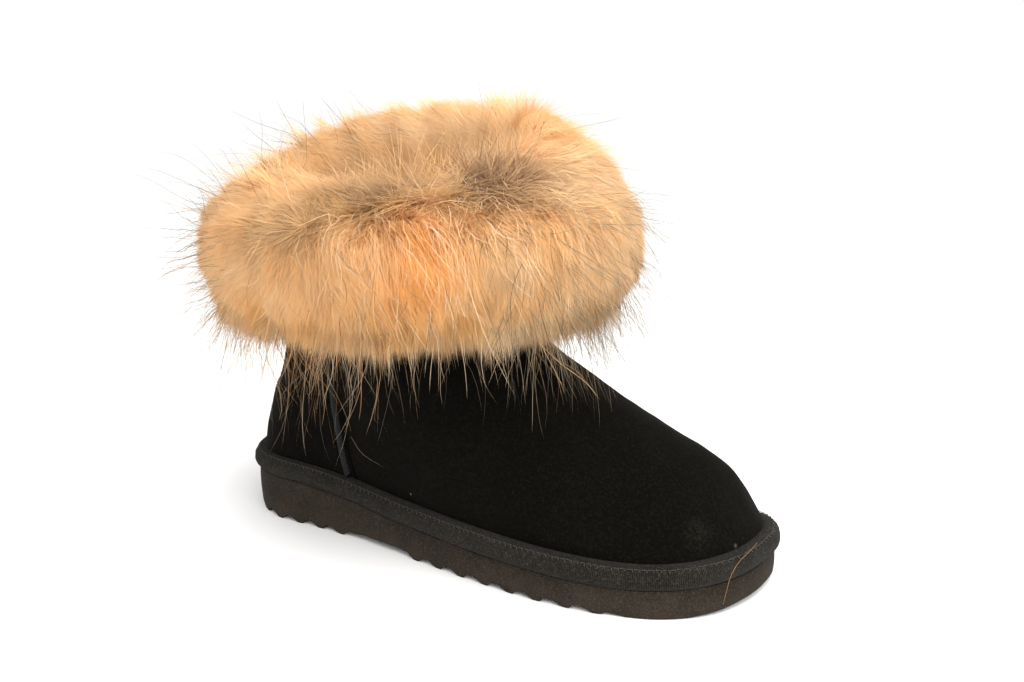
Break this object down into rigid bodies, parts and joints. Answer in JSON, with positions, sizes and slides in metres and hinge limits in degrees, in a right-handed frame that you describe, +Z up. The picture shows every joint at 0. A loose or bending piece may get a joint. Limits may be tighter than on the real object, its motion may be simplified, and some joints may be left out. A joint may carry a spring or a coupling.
{
  "type": "sheepskin ankle boot",
  "caption": "Short pull-on sheepskin boot with a deep fur cuff, raised back panel, bound midsole edge and a foam outsole with sawtooth lugs.",
  "frame": {"origin": "on the floor, on the flat land of the third lug under the heel", "axes": "+X from heel to toe, +Y to the inner side of the foot, +Z up"},
  "size_m": [0.2835, 0.1869, 0.1952],
  "materials": {
    "outsole_foam": "matt moulded foam",
    "midsole_foam": "matt foam",
    "binding_textile": "ribbed woven tape",
    "insole_fleece": "wool fleece",
    "suede": "napped suede",
    "fur": "long golden fur with darker guard hairs"
  },
  "bodies": {
    "root": {"outsole": "outsole_foam", "midsole": "midsole_foam", "edge_binding": "binding_textile", "insole": "insole_fleece", "upper": "suede", "heel_counter": "suede", "side_seam_outer": "suede", "side_seam_inner": "suede", "fur_cuff": "fur"}
  },
  "joints": []
}
